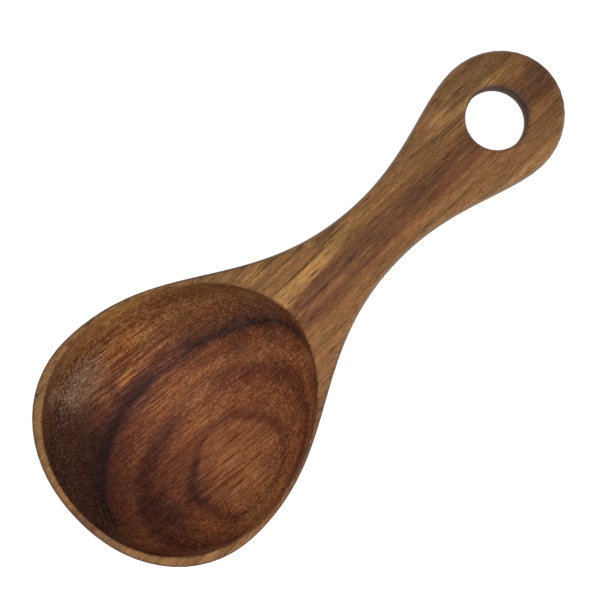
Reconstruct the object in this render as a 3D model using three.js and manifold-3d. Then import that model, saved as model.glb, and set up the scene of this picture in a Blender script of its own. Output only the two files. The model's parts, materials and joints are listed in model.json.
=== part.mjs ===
// A serving spoon carved from one piece of wood: a deep egg-shaped bowl, a flat waisted handle and a
// hanging hole. Millimetres, +Z up. The spoon is drawn level, with its flat top at z = 0 and x running back
// from the bowl's widest place to the tip of the handle, and is then laid down the way it rests on a table.

import * as THREE from 'three';
import { mergeVertices } from 'three/addons/utils/BufferGeometryUtils.js';
import Module from 'manifold-3d';

const { clamp, degToRad, lerp, smoothstep } = THREE.MathUtils;
const wasm = await Module();
wasm.setup();

// Outside, seen from above
const bowlWidth = 87;
const bowlFront = 38; // from the bowl's widest place forward to the front
const frontFullness = 2.12; // 2 draws an ellipse, more draws a squarer front
const neckBack = 99; // from the bowl's widest place back to the narrowest place
const neckWidth = 22.7;
const eyeBack = 52.8; // from the narrowest place back to the widest place of the handle's end
const eyeWidth = 43;
const eyeEnd = 23.4; // from there to the tip of the handle
const shoulderPull = 40.2; // how far the bowl holds its width on the way back
const neckPull = 46.4; // how far the neck holds its width on the way forward
const waistPull = 23.8; // and on the way back
const eyePull = 13.2; // how far the eye holds its width on the way forward

// Underside, measured down from the flat top
const bowlHeight = 37;
const bottomBack = 8; // the deepest place lies this far back of the widest place
const neckThickness = 13;
const eyeThickness = 8.4;
const bottomPull = 33; // how far the bowl's underside keeps its depth on the way back
const keelPull = 36; // how far the neck's underside keeps its depth on the way forward
const bowlRoundness = 2.15; // 2 draws an elliptic section, more draws a squarer one
const handleRoundness = 4.5;
const rimEdge = 0.7; // rounding of the top edge along the bowl
const handleEdge = 1.6; // and along the handle

// Hollow of the bowl
const rimFront = 2.2; // flat rim left in front
const rimSide = 2; // and at the sides
const rimLeast = 1.1; // and where the sides run in to the neck
const hollowSetBack = 3.9; // the hollow's widest place lies this far back of the bowl's
const hollowBack = 53.5; // from there back to the hollow's edge at the neck
const hollowFullnessFront = 2.1;
const hollowFullnessBack = 1.89;
const floorThickness = 5;
const hollowRoundness = 2.2;

// Hanging hole
const holeDiameter = 20.6;
const holeAheadOfEye = 0.6; // from the eye's widest place forward to the hole's centre
const holeEdge = 0.9; // rounding of the hole's mouths

// How finely the curves are cut into flat facets
const outlineSteps = 66;
const edgeSteps = 3;
const wallSteps = 10;
const hollowSteps = 72;
const hollowRings = 11;
const holeSteps = 40;
const cutterReach = 6; // how far a cutter stands out past the faces that it cuts
const halvings = 40; // how often a search halves its range
const steepestRest = 45; // degrees, more than a spoon can lean on a table

const eyeX = neckBack + eyeBack;
const holeX = eyeX - holeAheadOfEye;
const bottom = new THREE.Vector2(bottomBack, 0);

// A quarter of a superellipse about (x, 0), from its end on the axis to its widest place.
class QuarterOval extends THREE.Curve {
  constructor(x, reach, halfWidth, fullness) {
    super();
    Object.assign(this, { x, reach, halfWidth, fullness });
  }

  getPoint(t, target = new THREE.Vector2()) {
    const angle = t * Math.PI / 2;
    const along = Math.cos(angle) ** (2 / this.fullness);
    const across = Math.sin(angle) ** (2 / this.fullness);
    return target.set(this.x - this.reach * along, this.halfWidth * across);
  }
}

// A smooth step from one height to another, level at both ends.
function swoop(fromX, fromY, fromPull, toX, toY, toPull) {
  return new THREE.CubicBezierCurve(
    new THREE.Vector2(fromX, fromY),
    new THREE.Vector2(fromX + fromPull, fromY),
    new THREE.Vector2(toX - toPull, toY),
    new THREE.Vector2(toX, toY),
  );
}

// Height of a curve that runs steadily along x, found by halving.
function heightAt(curve, x) {
  let low = 0;
  let high = 1;
  for (let turn = 0; turn < halvings; turn++) {
    const middle = (low + high) / 2;
    if (curve.getPoint(middle).x < x) low = middle;
    else high = middle;
  }
  return curve.getPoint(low).y;
}

const bowlSide = swoop(0, bowlWidth / 2, shoulderPull, neckBack, neckWidth / 2, neckPull);
const handleSide = swoop(neckBack, neckWidth / 2, waistPull, eyeX, eyeWidth / 2, eyePull);
const bowlKeel = swoop(bottomBack, bowlHeight, bottomPull, neckBack, neckThickness, keelPull);

// Depth of the underside below the flat top, along the middle of the spoon.
function keelDepth(x) {
  if (x < neckBack) return heightAt(bowlKeel, x);
  return lerp(neckThickness, eyeThickness, smoothstep(x, neckBack, eyeX));
}

// One side of the outline, from the front of the bowl to the tip of the handle.
function outlineSide() {
  const path = new THREE.CurvePath();
  path.add(new QuarterOval(0, bowlFront, bowlWidth / 2, frontFullness));
  path.add(bowlSide);
  path.add(handleSide);
  path.add(new THREE.EllipseCurve(eyeX, 0, eyeEnd, eyeWidth / 2, Math.PI / 2, 0, true));
  return path.getSpacedPoints(outlineSteps);
}

// One side of the hollow's edge, from the front of the bowl to the neck, kept inside the outline.
function hollowSide() {
  const halfWidth = bowlWidth / 2 - rimSide;
  const hollowFront = bowlFront - rimFront + hollowSetBack;
  const front = new QuarterOval(hollowSetBack, hollowFront, halfWidth, hollowFullnessFront);
  const back = new QuarterOval(hollowSetBack, -hollowBack, halfWidth, hollowFullnessBack);
  const ahead = front.getSpacedPoints(hollowSteps / 4);
  const behind = back.getSpacedPoints(hollowSteps / 4).reverse().slice(1);
  for (const point of behind) {
    point.y = Math.min(point.y, heightAt(bowlSide, point.x) - rimLeast);
  }
  return [...ahead, ...behind];
}

// Both sides of an outline as one loop.
function loop(side) {
  const mirrored = side.slice(1, -1).reverse().map((point) => new THREE.Vector2(point.x, -point.y));
  return [...side, ...mirrored];
}

// Points of a rib in its own plane, swept from the outer edge down and in: share of the reach, and height.
function ovalWall(topZ, bottomZ, fullness, steps) {
  const points = [];
  for (let step = 0; step <= steps; step++) {
    const angle = step / steps * Math.PI / 2;
    const share = step === steps ? 0 : Math.cos(angle) ** (2 / fullness);
    points.push([share, lerp(topZ, bottomZ, Math.sin(angle) ** (2 / fullness))]);
  }
  return points;
}

// Places a rib's points between the middle of the spoon and its edge.
function placeRib(middle, edge, points) {
  return points.map(([share, z]) => new THREE.Vector3(lerp(middle.x, edge.x, share), edge.y * share, z));
}

// A rib of the outside: along the flat top, over the rounded edge and down the wall to the keel.
function outsideRib(edge) {
  const middle = new THREE.Vector2(clamp(edge.x, bottomBack, eyeX), 0);
  const reach = middle.distanceTo(edge);
  const towardHandle = smoothstep(edge.x, bottomBack, neckBack);
  const round = lerp(rimEdge, handleEdge, towardHandle);
  const fullness = lerp(bowlRoundness, handleRoundness, towardHandle);
  const points = [[0, 0]];
  for (let step = 0; step < edgeSteps; step++) {
    const angle = step / edgeSteps * Math.PI / 2;
    points.push([1 - round * (1 - Math.sin(angle)) / reach, round * (Math.cos(angle) - 1)]);
  }
  points.push(...ovalWall(-round, -keelDepth(middle.x), fullness, wallSteps));
  return placeRib(middle, edge, points);
}

// A rib of the hollow's cutter: out above the top, and down the inner wall to the deepest place.
function hollowRib(edge) {
  const depth = bowlHeight - floorThickness;
  const points = [[0, cutterReach], [1, cutterReach]];
  points.push(...ovalWall(0, -depth, hollowRoundness, hollowRings));
  return placeRib(bottom, edge, points);
}

// Joins a closed ring of ribs into a closed skin.
function skin(ribs) {
  const positions = ribs.flat().flatMap((point) => point.toArray());
  const perRib = ribs[0].length;
  const index = [];
  for (let rib = 0; rib < ribs.length; rib++) {
    const next = (rib + 1) % ribs.length;
    for (let step = 0; step < perRib - 1; step++) {
      const a = rib * perRib + step;
      const b = next * perRib + step;
      index.push(a, b, b + 1, a, b + 1, a + 1);
    }
  }
  const geometry = new THREE.BufferGeometry();
  geometry.setAttribute('position', new THREE.Float32BufferAttribute(positions, 3));
  geometry.setIndex(index);
  return geometry;
}

// The hole's cutter, flared at both mouths so that it leaves rounded edges.
function holeCutter() {
  const wide = holeDiameter / 2 + holeEdge;
  const flare = [];
  for (let step = 0; step <= edgeSteps; step++) {
    const angle = step / edgeSteps * Math.PI / 2;
    flare.push([wide - holeEdge * Math.cos(angle), holeEdge * (1 - Math.sin(angle))]);
  }
  const underside = -eyeThickness;
  const profile = [
    new THREE.Vector2(0, underside - cutterReach),
    new THREE.Vector2(wide, underside - cutterReach),
    ...flare.toReversed().map(([radius, depth]) => new THREE.Vector2(radius, underside + depth)),
    ...flare.map(([radius, depth]) => new THREE.Vector2(radius, -depth)),
    new THREE.Vector2(wide, cutterReach),
    new THREE.Vector2(0, cutterReach),
  ];
  return new THREE.LatheGeometry(profile, holeSteps).rotateX(Math.PI / 2).translate(holeX, 0, 0);
}

// A solid from a closed skin, without the slivers where ribs run together.
function solid(geometry) {
  geometry.deleteAttribute('normal');
  geometry.deleteAttribute('uv');
  const merged = mergeVertices(geometry);
  const index = merged.index.array;
  const triVerts = [];
  for (let corner = 0; corner < index.length; corner += 3) {
    const [a, b, c] = index.slice(corner, corner + 3);
    if (a !== b && b !== c && c !== a) triVerts.push(a, b, c);
  }
  const vertProperties = merged.attributes.position.array;
  const mesh = new wasm.Mesh({ numProp: 3, vertProperties, triVerts: new Uint32Array(triVerts) });
  return new wasm.Manifold(mesh);
}

function geometryOf(body) {
  const mesh = body.getMesh();
  const geometry = new THREE.BufferGeometry();
  geometry.setAttribute('position', new THREE.Float32BufferAttribute(mesh.vertProperties, 3));
  geometry.setIndex(Array.from(mesh.triVerts));
  geometry.computeVertexNormals();
  return geometry;
}

function spoonGeometry() {
  const outside = solid(skin(loop(outlineSide()).map(outsideRib)));
  const hollow = solid(skin(loop(hollowSide()).map(hollowRib)));
  const hole = solid(holeCutter());
  return geometryOf(outside.subtract(hollow).subtract(hole));
}

// The angle at which the spoon lies on a table, on the bowl's underside and the tip of the handle.
function restAngle(geometry) {
  const position = geometry.attributes.position;
  let low = 0;
  let high = degToRad(steepestRest);
  for (let turn = 0; turn < halvings; turn++) {
    const angle = (low + high) / 2;
    let bowlLow = Infinity;
    let handleLow = Infinity;
    for (let i = 0; i < position.count; i++) {
      const z = position.getZ(i) * Math.cos(angle) - position.getX(i) * Math.sin(angle);
      if (position.getX(i) < neckBack) bowlLow = Math.min(bowlLow, z);
      else handleLow = Math.min(handleLow, z);
    }
    if (handleLow > bowlLow) low = angle;
    else high = angle;
  }
  return low;
}

// The spoon lying on the table, over the middle of the box round it.
function spoon() {
  const wood = new THREE.MeshStandardMaterial({ color: 0x8f5f36, roughness: 0.55, metalness: 0 });
  const mesh = new THREE.Mesh(spoonGeometry(), wood);
  mesh.name = 'spoon_body';
  mesh.rotation.y = restAngle(mesh.geometry);
  const box = new THREE.Box3().setFromObject(mesh, true);
  const centre = box.getCenter(new THREE.Vector3());
  mesh.position.set(-centre.x, -centre.y, -box.min.z);
  return mesh;
}

const woodenSpoon = new THREE.Group();
woodenSpoon.add(spoon());

export default woodenSpoon;
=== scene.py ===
import json
import math

import bmesh
import bpy
from mathutils import Matrix, Vector


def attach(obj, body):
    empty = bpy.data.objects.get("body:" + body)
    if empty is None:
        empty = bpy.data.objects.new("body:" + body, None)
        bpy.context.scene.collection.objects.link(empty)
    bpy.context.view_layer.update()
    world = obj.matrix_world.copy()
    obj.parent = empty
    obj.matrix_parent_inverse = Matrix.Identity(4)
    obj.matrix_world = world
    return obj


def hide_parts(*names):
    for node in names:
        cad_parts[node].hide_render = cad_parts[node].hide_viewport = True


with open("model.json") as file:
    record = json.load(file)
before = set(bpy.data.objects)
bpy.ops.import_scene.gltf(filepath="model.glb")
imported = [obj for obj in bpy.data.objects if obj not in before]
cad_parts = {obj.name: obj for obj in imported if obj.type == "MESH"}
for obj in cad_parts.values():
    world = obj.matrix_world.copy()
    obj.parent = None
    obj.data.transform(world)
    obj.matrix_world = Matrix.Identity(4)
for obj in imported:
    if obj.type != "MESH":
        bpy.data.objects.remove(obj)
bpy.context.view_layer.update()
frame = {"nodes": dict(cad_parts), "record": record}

scene = bpy.context.scene

# Camera, straight above the spoon: measured on the photograph
CAMERA_HEIGHT = 1.3
CAMERA_AIM = (-0.0054, 0.00125)
CAMERA_ROLL = math.radians(-43.49)
FOCAL_PIXELS = 3964.0
IMAGE_PIXELS = 600.0
SENSOR_MM = 36.0

# Stage and light, in metres and watts
FLOOR_REACH = 3.0
FLOOR_GREY = 0.5
FLOOR_GLOW = 0.75
SKY_GLOW = 0.84
SOFTBOXES = [("key", (0.44, -0.95, 0.34), 0.35, 4), ("top", (0.2, -0.3, 1.6), 0.8, 8)]

# Skin of the spoon: its cells in metres, how far and how often it is smoothed, and the share of faces kept
VOXEL = 0.00045
SMOOTHING = 0.5
SMOOTHING_ROUNDS = 6
KEPT_FACES = 0.42

# Sheen and relief of the wood
SPECULAR = 0.08
BUMP_STRENGTH = 0.35
BUMP_DEPTH = 0.0001

# The spoon's own level frame, from the flat face of its handle
MM = 1000.0
eye_face = next(m for m in frame["record"]["mounts"] if m["name"] == "eye_face")
TILT = math.atan2(eye_face["axis"][0], eye_face["axis"][2])


def level_matrix():
    """Turns a point of the frame into level millimetres: x from the bowl's front, z up from the flat top."""
    turn = Matrix.Rotation(-TILT, 4, "Y")
    about_face = turn @ Matrix.Translation(-Vector(eye_face["pos_m"]))
    front = min((about_face @ v.co).x for v in frame["nodes"]["spoon_body"].data.vertices)
    return Matrix.Scale(MM, 4) @ Matrix.Translation((-front, 0, 0)) @ about_face


LEVEL = level_matrix()

# Middle of the bowl, as a point of the frame, and the hanging hole in level mm
BOWL_MIDDLE = LEVEL.inverted() @ Vector((46, 0, -6))
HOLE_FROM_FACE = 17.4
HOLE_MIDDLE = ((LEVEL @ Vector(eye_face["pos_m"])).x - HOLE_FROM_FACE, 0, 0)
HOLE_RADIUS = 10.3
HOLE_SOFTNESS = 1.7

# Growth layers: how far they rise across the spoon, how they waver and where they swell
LAYER_SLANT = 0.633
LAYER_WAVERS = [(0.012, 0.04, 1.2, 2.0), (0.035, 0.7, 0.6, 3.0)]
LAYER_SWELLS = [((57, -7, -31), -1.4), ((40, -30, -23), 1.7), ((37, -18, -29), 0.9)]
SWELL_REACH = 17

# Bands of colour across the growth layers: height of the layer in mm, then its colour
HOLLOW_BANDS = [
    (-34, (138, 85, 51)), (-29.9, (134, 82, 49)), (-29.4, (104, 58, 38)), (-28.8, (106, 60, 38)),
    (-28, (124, 72, 43)), (-26.6, (132, 78, 46)), (-24.4, (124, 71, 43)), (-22.2, (102, 55, 36)),
    (-20.8, (108, 60, 38)), (-18.8, (142, 86, 50)), (-16.4, (130, 77, 46)), (-13.8, (120, 69, 42)),
    (-12.1, (100, 58, 40)), (-11.3, (84, 48, 36)), (-10.6, (63, 38, 32)), (-9.6, (66, 39, 33)),
    (-8.9, (78, 46, 37)), (-6.7, (98, 57, 41)), (-4.2, (113, 67, 42)), (0, (116, 71, 43)),
    (4, (124, 80, 46)), (8, (115, 71, 41)), (14, (101, 62, 35)), (20, (117, 75, 40)),
    (24, (130, 88, 48)), (28, (134, 92, 52)),
]
OUTSIDE_BANDS = [
    (-44, (112, 76, 46)), (-38, (98, 62, 39)), (-33, (118, 82, 50)), (-29, (94, 59, 38)),
    (-24, (120, 84, 50)), (-19, (104, 69, 42)), (-15, (116, 81, 49)), (-5, (118, 82, 50)),
    (-1.2, (119, 83, 50)), (0.7, (118, 79, 47)), (1.6, (101, 64, 40)), (2.6, (97, 63, 39)),
    (3.4, (96, 62, 39)), (4.4, (90, 58, 37)), (5.2, (94, 61, 38)), (6.4, (96, 62, 38)),
    (7.4, (107, 72, 43)), (8.4, (115, 80, 47)), (9.6, (118, 84, 49)), (10.5, (111, 77, 46)),
    (12.4, (115, 81, 49)), (15.4, (112, 80, 49)), (36, (112, 80, 49)),
]

# How light the wood is along the spoon: mm from the bowl's front, then the share of red, green and blue
HOLLOW_LIGHTNESS = [
    (0, (0.28, 0.24, 0.3)), (22, (0.36, 0.31, 0.38)), (38, (0.65, 0.58, 0.63)), (54, (1.06, 1.05, 1.02)),
    (72, (0.87, 0.86, 0.87)), (96, (0.76, 0.74, 0.8)), (130, (0.8, 0.8, 0.8)),
]
OUTSIDE_LIGHTNESS = [
    (0, (1.2, 1.2, 1.2)), (30, (1.1, 1.1, 1.1)), (60, (0.94, 0.94, 0.94)), (100, (1.14, 1.1, 1.05)),
    (130, (1.01, 0.99, 0.965)), (172, (0.98, 0.955, 0.925)), (196, (0.84, 0.815, 0.78)),
    (214, (0.74, 0.715, 0.68)),
]

# Colours of single features
DARK_FRONT = (36, 22, 18)
FLOOR_RING = (48, 28, 24)
SAPWOOD = (144, 106, 61)
# Painted shade under the top edge of the hanging hole, and painted light from the floor on its lower wall
HOLE_TOP_SHADE = (72, 54, 47)
HOLE_FOOT_LIGHT = (97, 83, 77)
# Pale specks of cut fibre, and painted glints where they gather in the sheen on the left wall
SPECK_AND_GLINT = (190, 160, 128)
PORE = (54, 28, 10)
# Painted grey sheen on the handle's rounded edges, and painted shade on the outer edge of the rim
EDGE_SHEEN = (110, 93, 79)
RIM_EDGE_SHADE = (80, 62, 56)

# Marks in the wood, and a few painted sheens and highlights: where, how far along and across the grain in
# mm, how strong, and the colour
BOWL_MARKS = {
    # Painted sheen: a pale grey patch where light glances off the hollow's left wall
    "painted sheen on the left wall": ((33, 30.5, -22), (18, 8.5), 0.28, (150, 126, 100)),
    "golden fleck in the left wall": ((45.7, 22, -28), (6, 2.4), 0.6, (190, 122, 66)),
    "dark foot of the front wall": ((25.5, -18, -25), (7.5, 15), 0.6, (42, 22, 18)),
    "dark side of the disc": ((40, -21, -28), (5, 7), 0.35, (70, 42, 32)),
    # Painted sheen: a grey, purplish glance of light along the right rim
    "painted grey sheen on the right rim": ((66, -37, 0), (24, 7), 0.45, (102, 74, 72)),
    "dark stretch of the front rim": ((3, -12, 0), (4, 8), 0.4, (84, 62, 52)),
    "light streak on the floor": ((60, 1.5, -31), (13, 3.2), 0.5, (168, 112, 64)),
    "light streak beside the disc": ((60, -7, -31), (9, 2.4), 0.4, (160, 105, 64)),
    "light streak towards the neck": ((72, -2.5, -28), (6, 2.5), 0.4, (150, 92, 60)),
    "light middle of the right wall": ((46, -38.5, -12), (14, 9), 0.35, (146, 98, 56)),
    "orange foot of the right wall": ((32.5, -30, -21), (6, 14), 0.36, (136, 78, 36)),
    "orange top of the right wall": ((40, -42, -5), (13, 4), 0.55, (150, 92, 46)),
    "dark foot of the right wall": ((60, -30, -20), (8, 5), 0.35, (80, 46, 32)),
    "lighter front corner": ((9, -20, -13), (9, 15), 0.35, (116, 66, 38)),
    "lighter right corner": ((22, -37, -7), (13, 9), 0.42, (124, 80, 48)),
    "light lip of the right corner": ((15, -31, -3), (7, 6), 0.3, (150, 100, 66)),
    "pale inner edge of the right corner": ((24, -38, 0), (7, 2.4), 0.6, (164, 118, 78)),
    "pale inner edge of the right rim": ((35, -40.4, -1.5), (8, 2.2), 0.4, (164, 118, 78)),
    "pale inner edge of the left rim": ((75, 31.2, -2), (6, 3), 0.55, (164, 116, 72)),
    "brown top of the left wall": ((45, 40, -7), (8, 5), 0.3, (80, 50, 34)),
    "golden left wall": ((52, 30, -22), (13, 5.5), 0.28, (180, 118, 60)),
    "golden foot of the left wall": ((53, 22, -27), (7, 3.5), 0.45, (176, 116, 72)),
    "faint stretch of the dark band": ((60, 16, -28.5), (10, 3.2), 0.3, (146, 86, 60)),
    "dark band towards the neck": ((79, 4, -25), (10, 5), 0.4, (64, 38, 32)),
    "dark band on the floor": ((68, 8.5, -28.5), (6, 2.8), 0.4, (66, 39, 32)),
    "dark band below the neck": ((89, 0, -16.5), (6, 6), 0.5, (60, 36, 30)),
    "light wall right of the neck": ((91, -16, -6), (5, 10), 0.56, (150, 96, 60)),
    "light wall beside the dark band's end": ((93, -9, -5), (3, 5), 0.2, (140, 88, 58)),
    "grey wall above the dark band's end": ((93, 4.5, -9), (4, 6), 0.12, (110, 94, 92)),
    "dark front wall": ((9, 16, -13), (7, 16), 0.5, (36, 22, 18)),
    # Painted sheen: the pale grey glance of light on the left wall, spread towards the front rim
    "painted sheen towards the front rim": ((22, 33, -14), (7, 5), 0.25, (150, 120, 92)),
    "light spot in the left wall": ((36, 21.7, -27.5), (5, 3), 0.3, (168, 108, 70)),
    "dark spot in the left wall": ((21, 28.5, -18), (5, 4), 0.5, (40, 27, 22)),
}
HANDLE_MARKS = {
    "pale streak left of the hole": ((190, 10.6, 0), (22, 2.2), 0.5, (152, 114, 64)),
    "red streak on the grip": ((162, -4.4, 0), (18, 1.5), 0.45, (94, 51, 31)),
    "core of the red streak": ((173, -4.3, 0), (10, 0.9), 0.65, (82, 42, 25)),
    "dark tip": ((211, 2, 0), (9, 12), 0.5, (70, 46, 34)),
    "dark left side of the tip": ((200, 18, 0), (17, 6), 0.6, (84, 56, 38)),
    "dark right side of the tip": ((207, -7, 0), (6, 4.5), 0.5, (78, 50, 34)),
    "dark wood before the hole": ((177, -2.5, 0), (6, 3), 0.65, (76, 46, 32)),
    "light left shoulder": ((175, 12.5, 0), (8, 3), 0.35, (168, 126, 78)),
    "light wood right of the hole": ((190, -19.3, 0), (22, 3.6), 0.28, (172, 130, 84)),
    "red wood beside the streak": ((170, -7.3, 0), (12, 2.4), 0.45, (92, 56, 36)),
    "dark wood right of the hole": ((184, -14, 0), (7, 4), 0.3, (96, 62, 38)),
    "dark patch left of the neck": ((121, 11, 0), (9, 2.6), 0.65, (70, 48, 32)),
    "light wood left of the bowl's end": ((94, 17, 0), (8, 3.5), 0.6, (168, 122, 70)),
    "dark left edge at the bowl's end": ((94, 21.7, 0), (8, 3.2), 0.5, (80, 54, 34)),
    "dark left edge of the bowl": ((84, 27, 0), (8, 2.6), 0.45, (80, 56, 36)),
    "dark right edge of the bowl": ((84, -27, 0), (8, 2.6), 0.45, (86, 54, 46)),
    "light end of the sapwood": ((97, 2.5, 0), (5, 2.2), 0.5, (176, 126, 78)),
    "dark wood right of the bowl's end": ((95, -19.2, 0), (8, 4), 0.45, (92, 61, 42)),
    "light fleck in the neck": ((127, -2.5, 0), (5, 2), 0.35, (160, 112, 72)),
    "dark left edge of the neck": ((111, 13.5, 0), (7, 3), 0.6, (86, 60, 40)),
    # Painted highlight along the rounded right edge of the handle's waist
    "painted highlight on the right edge of the waist": ((133, -13.5, 0), (12, 2.5), 0.45, (176, 142, 108)),
    "dark streak right of the waist": ((148, -9.5, 0), (8, 2), 0.4, (100, 69, 45)),
    "red streak right of the neck": ((106, -7.2, 0), (16, 2.2), 0.6, (92, 57, 37)),
    "dark streak left of the middle": ((140, 3, 0), (17, 1.8), 0.5, (84, 53, 34)),
    "pale right shoulder": ((177, -17.5, 0), (14, 3), 0.4, (152, 116, 76)),
    # Painted sheen where the handle's right side turns towards the light
    "painted sheen along the right edge": ((140, -11.5, 0), (24, 2.4), 0.4, (146, 112, 76)),
    "dark streak along the left": ((156, 11, 0), (16, 2), 0.35, (100, 69, 41)),
    "dark wood left of the hole": ((186, 15.5, 0), (15, 5), 0.65, (88, 64, 38)),
    "light streak in the neck": ((112, -2.6, 0), (22, 1.6), 0.6, (122, 82, 52)),
    "dark streak in the neck": ((106, -5.2, 0), (16, 1.3), 0.6, (80, 47, 32)),
    "dark fleck in the neck": ((122, -0.3, 0), (6, 0.9), 0.85, (48, 32, 24)),
    "dark line beside the sapwood": ((113, 2.4, 0), (14, 0.5), 0.7, (72, 41, 26)),
    "dark line at the bowl": ((100, 0.7, 0), (9, 0.4), 0.7, (72, 41, 26)),
}

# Thin dark lines on the flat top: x and y of the middle and half the length, in mm
LINES = [(108, 8.1, 22), (106, -0.9, 15), (123, 9.1, 10), (163, 9.7, 10), (173, 8.9, 14), (175, 7.95, 12)]
LINE_WIDTH = 0.4
LINE_STRENGTH = 0.85
LINE_COLOUR = (50, 33, 21)
LINE_MARKS = [((x, y, 0), (length, LINE_WIDTH), LINE_STRENGTH, LINE_COLOUR) for x, y, length in LINES]

# Tones along the grain: changes per mm along and across it, detail, and the darkest and lightest share
TONES = [(0.06, 0.2, 3.0, 0.8, 1.22), (0.015, 0.45, 3.0, 0.74, 1.28), (0.05, 1.0, 2.0, 0.78, 1.25)]

# How far a tone moves red, green and blue: broad tones keep the hue, and fine ones look grey on brown wood
BROAD = (1.0, 1.0, 1.0)
FINE = (0.72, 1.15, 1.35)

# Streaks in the hollow: how they turn from the handle's line, and changes per mm along, across and down
STREAK_TURN = 0.1
STREAK_SCALE = (0.08, 1.7, 0.1)


def srgb(red, green, blue):
    """A colour seen on a screen, 0 to 255, as a linear colour."""
    return tuple(((c / 255 + 0.055) / 1.055) ** 2.4 for c in (red, green, blue)) + (1.0,)


def grey(value):
    return (value, value, value, 1.0)


class Nodes:
    """Builds a shader with one short call for each node."""

    def __init__(self, name):
        self.material = bpy.data.materials.new(name)
        self.material.use_nodes = True
        self.tree = self.material.node_tree
        self.tree.nodes.clear()

    def add(self, kind, inputs=None, **settings):
        node = self.tree.nodes.new(kind)
        for key, value in settings.items():
            setattr(node, key, value)
        for key, value in (inputs or {}).items():
            self.feed(node.inputs[key], value)
        return node

    def feed(self, socket, value):
        if isinstance(value, bpy.types.NodeSocket):
            self.tree.links.new(value, socket)
        else:
            socket.default_value = value

    def math(self, operation, first, second=0.0, third=0.0):
        return self.add("ShaderNodeMath", {0: first, 1: second, 2: third}, operation=operation).outputs[0]

    def times(self, first, *others):
        for other in others:
            first = self.math("MULTIPLY", first, other)
        return first

    def vector(self, operation, first, second=(0.0, 0.0, 0.0)):
        node = self.add("ShaderNodeVectorMath", {0: first, 1: second}, operation=operation)
        return node.outputs["Value" if operation in ("DISTANCE", "LENGTH", "DOT_PRODUCT") else "Vector"]

    def mix(self, share, first, second, blend="MIX"):
        node = self.add("ShaderNodeMix", data_type="RGBA", blend_type=blend)
        self.feed(node.inputs[0], share)
        self.feed(node.inputs[6], first)
        self.feed(node.inputs[7], second)
        return node.outputs[2]

    def lerp(self, value, low, high, to_low=0.0, to_high=1.0, curve="LINEAR"):
        """Carries a value from one range to another, straight."""
        inputs = {"Value": value, "From Min": low, "From Max": high, "To Min": to_low, "To Max": to_high}
        return self.add("ShaderNodeMapRange", inputs, interpolation_type=curve).outputs[0]

    def span(self, value, low, high, to_low=0.0, to_high=1.0):
        """Carries a value from one range to another, with soft ends."""
        return self.lerp(value, low, high, to_low, to_high, "SMOOTHSTEP")

    def ramp(self, value, stops):
        node = self.add("ShaderNodeValToRGB", {0: value})
        elements = node.color_ramp.elements
        while len(elements) < len(stops):
            elements.new(0.5)
        for element, (place, colour) in zip(elements, stops):
            element.position = place
            element.color = colour
        return node.outputs[0]

    def bands(self, value, stops):
        """Colours over a value: each stop is a place and its linear colour."""
        low, high = stops[0][0], stops[-1][0]
        share = self.lerp(value, low, high)
        return self.ramp(share, [((place - low) / (high - low), colour) for place, colour in stops])

    def noise(self, vector, detail=3.0, roughness=0.5):
        inputs = {"Vector": vector, "Scale": 1.0, "Detail": detail, "Roughness": roughness}
        return self.add("ShaderNodeTexNoise", inputs).outputs[0]

    def shaded(self, base, noise, dark, light, share=1.0, tint=BROAD):
        """Darkens and lightens a colour by a noise, about as much each way."""
        ends = [[max(0.0, 1 + (end - 1) * part) for part in tint] + [1.0] for end in (dark, light)]
        tone = self.ramp(noise, [(0.3, ends[0]), (0.7, ends[1])])
        return self.mix(1.0, base, self.mix(share, grey(1), tone), "MULTIPLY")

    def surface(self, inputs):
        """Ends the shader and hands over its surface node."""
        shader = self.add("ShaderNodeBsdfPrincipled", inputs)
        self.add("ShaderNodeOutputMaterial", {0: shader.outputs[0]})
        return shader


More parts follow.
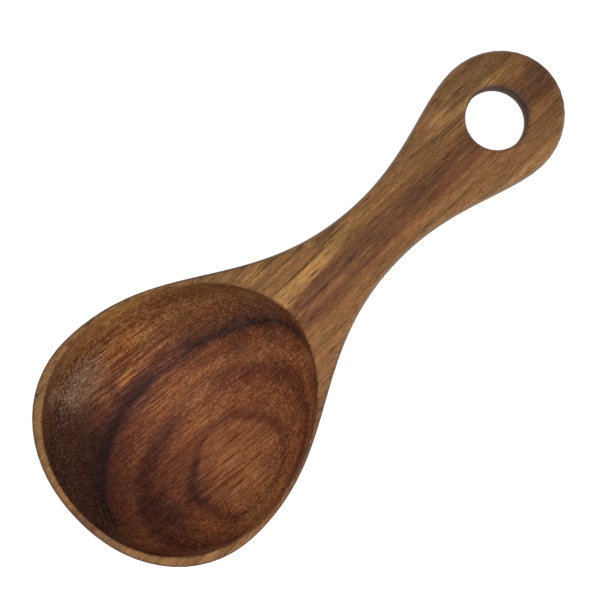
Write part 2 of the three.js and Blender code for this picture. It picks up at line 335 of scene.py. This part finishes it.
class Wood(Nodes):
    """A shader that knows the level millimetres and the regions of the spoon."""

    def __init__(self, name):
        super().__init__(name)
        self.place = self.add("ShaderNodeTexCoord").outputs["Object"]
        self.normal = self.add("ShaderNodeNewGeometry").outputs["Normal"]
        mapping = {"Vector": self.place, "Location": LEVEL.translation, "Rotation": LEVEL.to_euler()}
        mapping["Scale"] = (MM, MM, MM)
        self.level = self.add("ShaderNodeMapping", mapping).outputs[0]
        self.x, self.y, self.z = self.add("ShaderNodeSeparateXYZ", {0: self.level}).outputs
        self.upward = self.vector("DOT_PRODUCT", eye_face["axis"], self.normal)
        self.steep = self.span(self.upward, 0.95, 0.6)
        self.facing = self.bowl_facing()
        self.hollow = self.hollow_share()
        self.hole_wall = self.hole_share()
        self.disc = self.span(self.near(54, -21, -28), 20, 13)
        self.streaky = self.streaky_share()

    def near(self, *point):
        """How far a place is from a point of the level frame, in mm."""
        return self.vector("DISTANCE", self.level, point)

    def stretched(self, along, across):
        return self.vector("MULTIPLY", self.level, (along, across, across))

    def waver(self, along, across, reach, detail):
        """A noise that runs along the grain, from minus to plus its reach."""
        noise = self.noise(self.stretched(along, across), detail)
        return self.lerp(noise, 0, 1, -reach, reach)

    def bowl_facing(self):
        """How squarely a face looks at the middle of the bowl, from -1 to 1."""
        inward = self.vector("NORMALIZE", self.vector("SUBTRACT", tuple(BOWL_MIDDLE), self.place))
        return self.vector("DOT_PRODUCT", inward, self.normal)

    def hollow_share(self):
        """1 in the hollow, which starts a little sooner at the front rim."""
        start = self.span(self.x, 30, 75, 0.02, 0.2)
        inside = self.span(self.math("SUBTRACT", self.facing, start), 0, 0.33)
        return self.times(inside, self.span(self.x, 150, 130))

    def hole_share(self):
        """1 on the wall of the hanging hole, and fading over its edge, most on the side of the tip."""
        flat = self.vector("MULTIPLY", self.level, (1, 1, 0))
        away = self.vector("DISTANCE", flat, HOLE_MIDDLE)
        softness = self.span(self.x, HOLE_MIDDLE[0] - HOLE_RADIUS, HOLE_MIDDLE[0], 0.5, HOLE_SOFTNESS)
        return self.span(away, self.math("ADD", softness, HOLE_RADIUS), HOLE_RADIUS)

    def streaky_share(self):
        """Where long streaks show in the hollow: most on the left wall, then on the disc and the floor."""
        left_wall = self.span(self.near(48, 22, -26), 24, 12)
        floor = self.lerp(self.disc, 0, 1, self.span(self.steep, 1, 0, 0, 0.45), 0.85)
        return self.times(self.math("MAXIMUM", left_wall, floor), self.hollow)


def linear(stops):
    return [(place, srgb(*colour)) for place, colour in stops]


def growth_layers(w):
    """The height of a place among the growth layers, on the outside and in the hollow, in mm."""
    slant = w.math("MULTIPLY_ADD", w.y, LAYER_SLANT, w.z)
    for along, across, reach, detail in LAYER_WAVERS:
        slant = w.math("ADD", slant, w.waver(along, across, reach, detail))
    outside = w.math("ADD", slant, w.lerp(w.x, 96, 120, 5.5, 4.55))
    hollow = w.math("ADD", slant, w.lerp(w.x, 0, 95, 15, 4.55))
    hollow = w.math("ADD", hollow, w.span(w.x, 80, 96, 0, -4.5))
    hollow = w.math("ADD", hollow, w.span(w.x, 0, 11, -3.5, 0))
    for point, rise in LAYER_SWELLS:
        hollow = w.math("ADD", hollow, w.span(w.near(*point), 0, SWELL_REACH, rise, 0))
    return outside, hollow


def lightened(w, colour, lightness):
    stops = [(place, (*share, 1)) for place, share in lightness]
    return w.mix(1.0, colour, w.bands(w.x, stops), "MULTIPLY")


def hollow_colour(w, layer):
    """The hollow: curved bands, a dark front wall and a dark ring beside the disc on its floor."""
    colour = lightened(w, w.bands(layer, linear(HOLLOW_BANDS)), HOLLOW_LIGHTNESS)
    front = w.times(w.span(w.x, 36, 18), w.span(w.z, -1, -8, 0.3, 1))
    front = w.times(front, w.span(layer, -13, -8), w.span(layer, 18, 4, 0.15, 0.6))
    colour = w.mix(front, colour, srgb(*DARK_FRONT))
    ring = w.span(w.math("ABSOLUTE", w.math("ADD", layer, 29.3)), 0.8, 0.1)
    ring = w.times(ring, w.span(w.near(37, -18, -29), 14, 6, 0, 0.6))
    return w.mix(ring, colour, srgb(*FLOOR_RING))


def outside_colour(w, layer):
    """The outside, rim and handle: straight bands and one pale streak of sapwood at the neck."""
    colour = lightened(w, w.bands(layer, linear(OUTSIDE_BANDS)), OUTSIDE_LIGHTNESS)
    middle = w.lerp(w.x, 106, 130, 4.9, 7.4)
    half_width = w.lerp(w.x, 104, 134, 3.1, 1.9)
    aside = w.math("DIVIDE", w.math("ABSOLUTE", w.math("SUBTRACT", w.y, middle)), half_width)
    streak = w.times(w.span(aside, 1, 0.5), w.span(w.x, 140, 114), w.span(w.x, 66, 92, 0, 0.85))
    return w.mix(streak, colour, srgb(*SAPWOOD))


def marked(w, colour):
    """Adds the marks, each a soft spot with a ragged edge."""
    ragged = w.lerp(w.noise(w.stretched(0.25, 0.9), 3.0, 0.65), 0, 1, -0.6, 0.6)
    marks = [*BOWL_MARKS.values(), *HANDLE_MARKS.values(), *LINE_MARKS]
    for point, (along, across), strength, tone in marks:
        offset = w.vector("SUBTRACT", w.level, point)
        away = w.vector("LENGTH", w.vector("MULTIPLY", offset, (1 / along, 1 / across, 1 / across)))
        share = w.span(w.math("ADD", away, ragged), 1.0, 0.1, 0, strength)
        colour = w.mix(share, colour, srgb(*tone))
    return colour


def hole_shade(w, colour):
    """Paints shade on the wall of the hanging hole, darkest under its top edge, with painted floor light on
    its lower wall, least on its right.
    """
    wall = w.mix(w.span(w.z, -1, -7), srgb(*HOLE_TOP_SHADE), srgb(*HOLE_FOOT_LIGHT))
    return w.mix(w.times(w.hole_wall, w.span(w.y, -11, -3, 0.4, 1)), colour, wall)


def toned(w, colour):
    """Adds broad tones along the grain, calmer near the bowl and on the right, and streaks in the hollow."""
    calm = w.times(w.lerp(w.x, 30, 100, 0.65, 1), w.lerp(w.y, -12, 4, 0.7, 1))
    calm = w.lerp(w.hollow, 0, 1, calm, w.lerp(w.disc, 0, 1, 0.6, 0.25))
    for along, across, detail, dark, light in TONES:
        colour = w.shaded(colour, w.noise(w.stretched(along, across), detail), dark, light, calm)
    across = w.math("MULTIPLY_ADD", w.x, STREAK_TURN, w.y)
    turned = w.add("ShaderNodeCombineXYZ", {0: w.x, 1: across, 2: w.z}).outputs[0]
    streaks = w.noise(w.vector("MULTIPLY", turned, STREAK_SCALE), 1.0)
    return w.shaded(colour, streaks, 0.4, 1.65, w.streaky, FINE)


def fibrous(w, colour):
    """Adds fine fibres, grit and speckle; hands over the colour, the fibres and the speckle."""
    smooth = w.math("MAXIMUM", w.disc, w.times(w.streaky, 0.4))
    even = w.lerp(smooth, 0, 1, 1, 0.45)
    coarse = w.times(w.hollow, even)
    fibre = w.noise(w.stretched(0.3, 2.4), 3.0, 0.65)
    colour = w.shaded(colour, fibre, 0.46, 1.58, w.times(w.lerp(w.hollow, 0, 1, 0.8, 1), even), FINE)
    grit = w.noise(w.stretched(0.7, 1.1), 2.0, 0.7)
    colour = w.shaded(colour, grit, 0.46, 1.6, w.times(coarse, w.lerp(w.steep, 0, 1, 0.5, 1)), FINE)
    speckle = w.noise(w.stretched(1.2, 2.4), 2.0, 0.7)
    share = w.math("MULTIPLY_ADD", coarse, w.lerp(w.steep, 0, 1, 0.35, 0.65), 0.35)
    return w.shaded(colour, speckle, 0.3, 1.8, share, FINE), fibre, speckle


def specks_and_glints(w, colour):
    """Adds pale specks where the cut runs across the fibres, with painted glints of sheen gathered in a
    patch on the left wall.
    """
    specks = w.span(w.noise(w.stretched(0.9, 1.5), 1.0), 0.56, 0.68)
    # Painted glints: the specks gather where light glances off the left wall
    patch = w.span(w.near(32, 30, -21), 18, 4, 0.12, 0.4)
    return w.mix(w.times(specks, patch, w.hollow, w.steep), colour, srgb(*SPECK_AND_GLINT))


def pores(w, along, across, rarest, width):
    """Dark pores: one long thin spot in each of the chosen cells of a stretched pattern."""
    cells = w.add("ShaderNodeTexVoronoi", {"Vector": w.stretched(along, across), "Scale": 1.0}).outputs
    chance = w.add("ShaderNodeSeparateColor", {0: cells["Color"]}).outputs[0]
    return w.times(w.span(cells["Distance"], width, width / 2), w.span(chance, rarest, rarest + 0.15))


def porous(w):
    """All the pores: strong on the outside, and in the hollow only where it is streaky."""
    pore = w.math("MAXIMUM", pores(w, 0.1, 1.2, 0.62, 0.27), pores(w, 0.035, 1.1, 0.35, 0.22))
    outside = w.lerp(w.y, -4, 4, 0.75, 1)
    inside = w.lerp(w.streaky, 0, 1, 0.25, 0.65)
    return w.times(pore, w.lerp(w.hollow, 0, 1, outside, inside))


def lit_and_shaded_edges(w, colour):
    """Paints a grey sheen on the rounded edges of the handle and painted shade, darker, on the outer edge of
    the rim.
    """
    full = w.lerp(w.times(w.span(w.x, 20, 45), w.span(w.x, 112, 92)), 0, 1, 0.75, 0.92)
    edge = w.times(w.span(w.upward, 0.995, full), w.span(w.upward, -0.3, 0.3))
    edge = w.times(edge, w.math("MAXIMUM", w.span(w.facing, -0.1, -0.3), w.span(w.x, 96, 112)))
    free = w.math("SUBTRACT", 1.0, w.math("MAXIMUM", w.hollow, w.hole_wall))
    handle = w.times(w.span(w.x, 92, 112), w.span(w.x, 212, 206))
    edge_sheen_and_shade = w.mix(handle, srgb(*RIM_EDGE_SHADE), srgb(*EDGE_SHEEN))
    return w.mix(w.times(edge, free, w.span(w.x, 190, 205, 0.62, 0.8)), colour, edge_sheen_and_shade)


def wood_material():
    """Oiled hardwood: growth layers that slant through the blank, with fibres and pores along the handle."""
    w = Wood("oiled_wood")
    outside_layer, hollow_layer = growth_layers(w)
    outside = outside_colour(w, outside_layer)
    # The hollow turns paler, towards the outside colour, over its top 3 mm
    pale_lip = w.span(w.z, -3, 0, 0, w.span(w.x, 60, 86, 0.6, 0.95))
    inside = w.mix(pale_lip, hollow_colour(w, hollow_layer), outside)
    # Painted shade and floor light on the wall of the hanging hole
    colour = hole_shade(w, marked(w, w.mix(w.hollow, outside, inside)))
    colour, fibre, speckle = fibrous(w, toned(w, colour))
    colour = specks_and_glints(w, colour)
    pore = porous(w)
    # Painted sheen on the rounded edges and painted shade on the rim's outer edge
    colour = lit_and_shaded_edges(w, w.mix(pore, colour, srgb(*PORE)))
    height = w.math("SUBTRACT", w.math("MULTIPLY_ADD", fibre, 0.4, w.times(speckle, 0.5)), pore)
    bump = {"Strength": BUMP_STRENGTH, "Distance": BUMP_DEPTH, "Height": height}
    normal = w.add("ShaderNodeBump", bump).outputs[0]
    rough = w.math("MAXIMUM", w.lerp(fibre, 0, 1, 0.36, 0.56), w.hole_wall)
    shader = w.surface({"Base Color": colour, "Roughness": rough, "Normal": normal})
    shader.inputs["Specular IOR Level"].default_value = SPECULAR
    return w.material


def clean_mesh():
    """A copy of the solid's surface with its corners joined."""
    mesh = frame["nodes"]["spoon_body"].data.copy()
    mesh.materials.clear()
    work = bmesh.new()
    work.from_mesh(mesh)
    bmesh.ops.remove_doubles(work, verts=work.verts, dist=1e-6)
    work.to_mesh(mesh)
    work.free()
    return mesh


def spoon_piece():
    """The carved spoon: the solid's own surface, sanded smooth with softened edges."""
    piece = bpy.data.objects.new("spoon", clean_mesh())
    scene.collection.objects.link(piece)
    remesh = piece.modifiers.new("even skin", "REMESH")
    remesh.mode = "VOXEL"
    remesh.voxel_size = VOXEL
    smooth = piece.modifiers.new("sanding", "SMOOTH")
    smooth.factor = SMOOTHING
    smooth.iterations = SMOOTHING_ROUNDS
    thin = piece.modifiers.new("fewer faces", "DECIMATE")
    thin.ratio = KEPT_FACES
    graph = bpy.context.evaluated_depsgraph_get()
    finished = bpy.data.meshes.new_from_object(piece.evaluated_get(graph))
    piece.modifiers.clear()
    piece.data = finished
    finished.name = "spoon"
    finished.shade_smooth()
    finished.materials.append(wood_material())
    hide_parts("spoon_body")
    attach(piece, "root")


def camera():
    data = bpy.data.cameras.new("camera")
    data.sensor_width = SENSOR_MM
    data.lens = FOCAL_PIXELS / IMAGE_PIXELS * SENSOR_MM
    made = bpy.data.objects.new("camera", data)
    made.location = (*CAMERA_AIM, CAMERA_HEIGHT)
    made.rotation_euler = (0, 0, CAMERA_ROLL)
    scene.collection.objects.link(made)
    scene.camera = made


def floor():
    """A plain pale floor."""
    n = Nodes("floor")
    shader = n.surface({"Base Color": grey(FLOOR_GREY), "Roughness": 0.9})
    shader.inputs["Emission Color"].default_value = grey(1)
    shader.inputs["Emission Strength"].default_value = FLOOR_GLOW
    mesh = bpy.data.meshes.new("floor")
    corners = [(-1, -1), (1, -1), (1, 1), (-1, 1)]
    mesh.from_pydata([(x * FLOOR_REACH, y * FLOOR_REACH, 0) for x, y in corners], [], [(0, 1, 2, 3)])
    mesh.materials.append(n.material)
    made = bpy.data.objects.new("floor", mesh)
    scene.collection.objects.link(made)


def softbox(name, place, size, watts):
    data = bpy.data.lights.new(name, "AREA")
    data.size = size
    data.energy = watts
    made = bpy.data.objects.new(name, data)
    made.location = place
    made.rotation_euler = (-Vector(place)).to_track_quat("-Z", "Y").to_euler()
    scene.collection.objects.link(made)


def light():
    world = bpy.data.worlds.new("studio")
    world.use_nodes = True
    background = world.node_tree.nodes["Background"]
    background.inputs["Color"].default_value = grey(1)
    background.inputs["Strength"].default_value = SKY_GLOW
    scene.world = world
    for box in SOFTBOXES:
        softbox(*box)


scene.view_settings.view_transform = "Standard"
camera()
floor()
light()
spoon_piece()
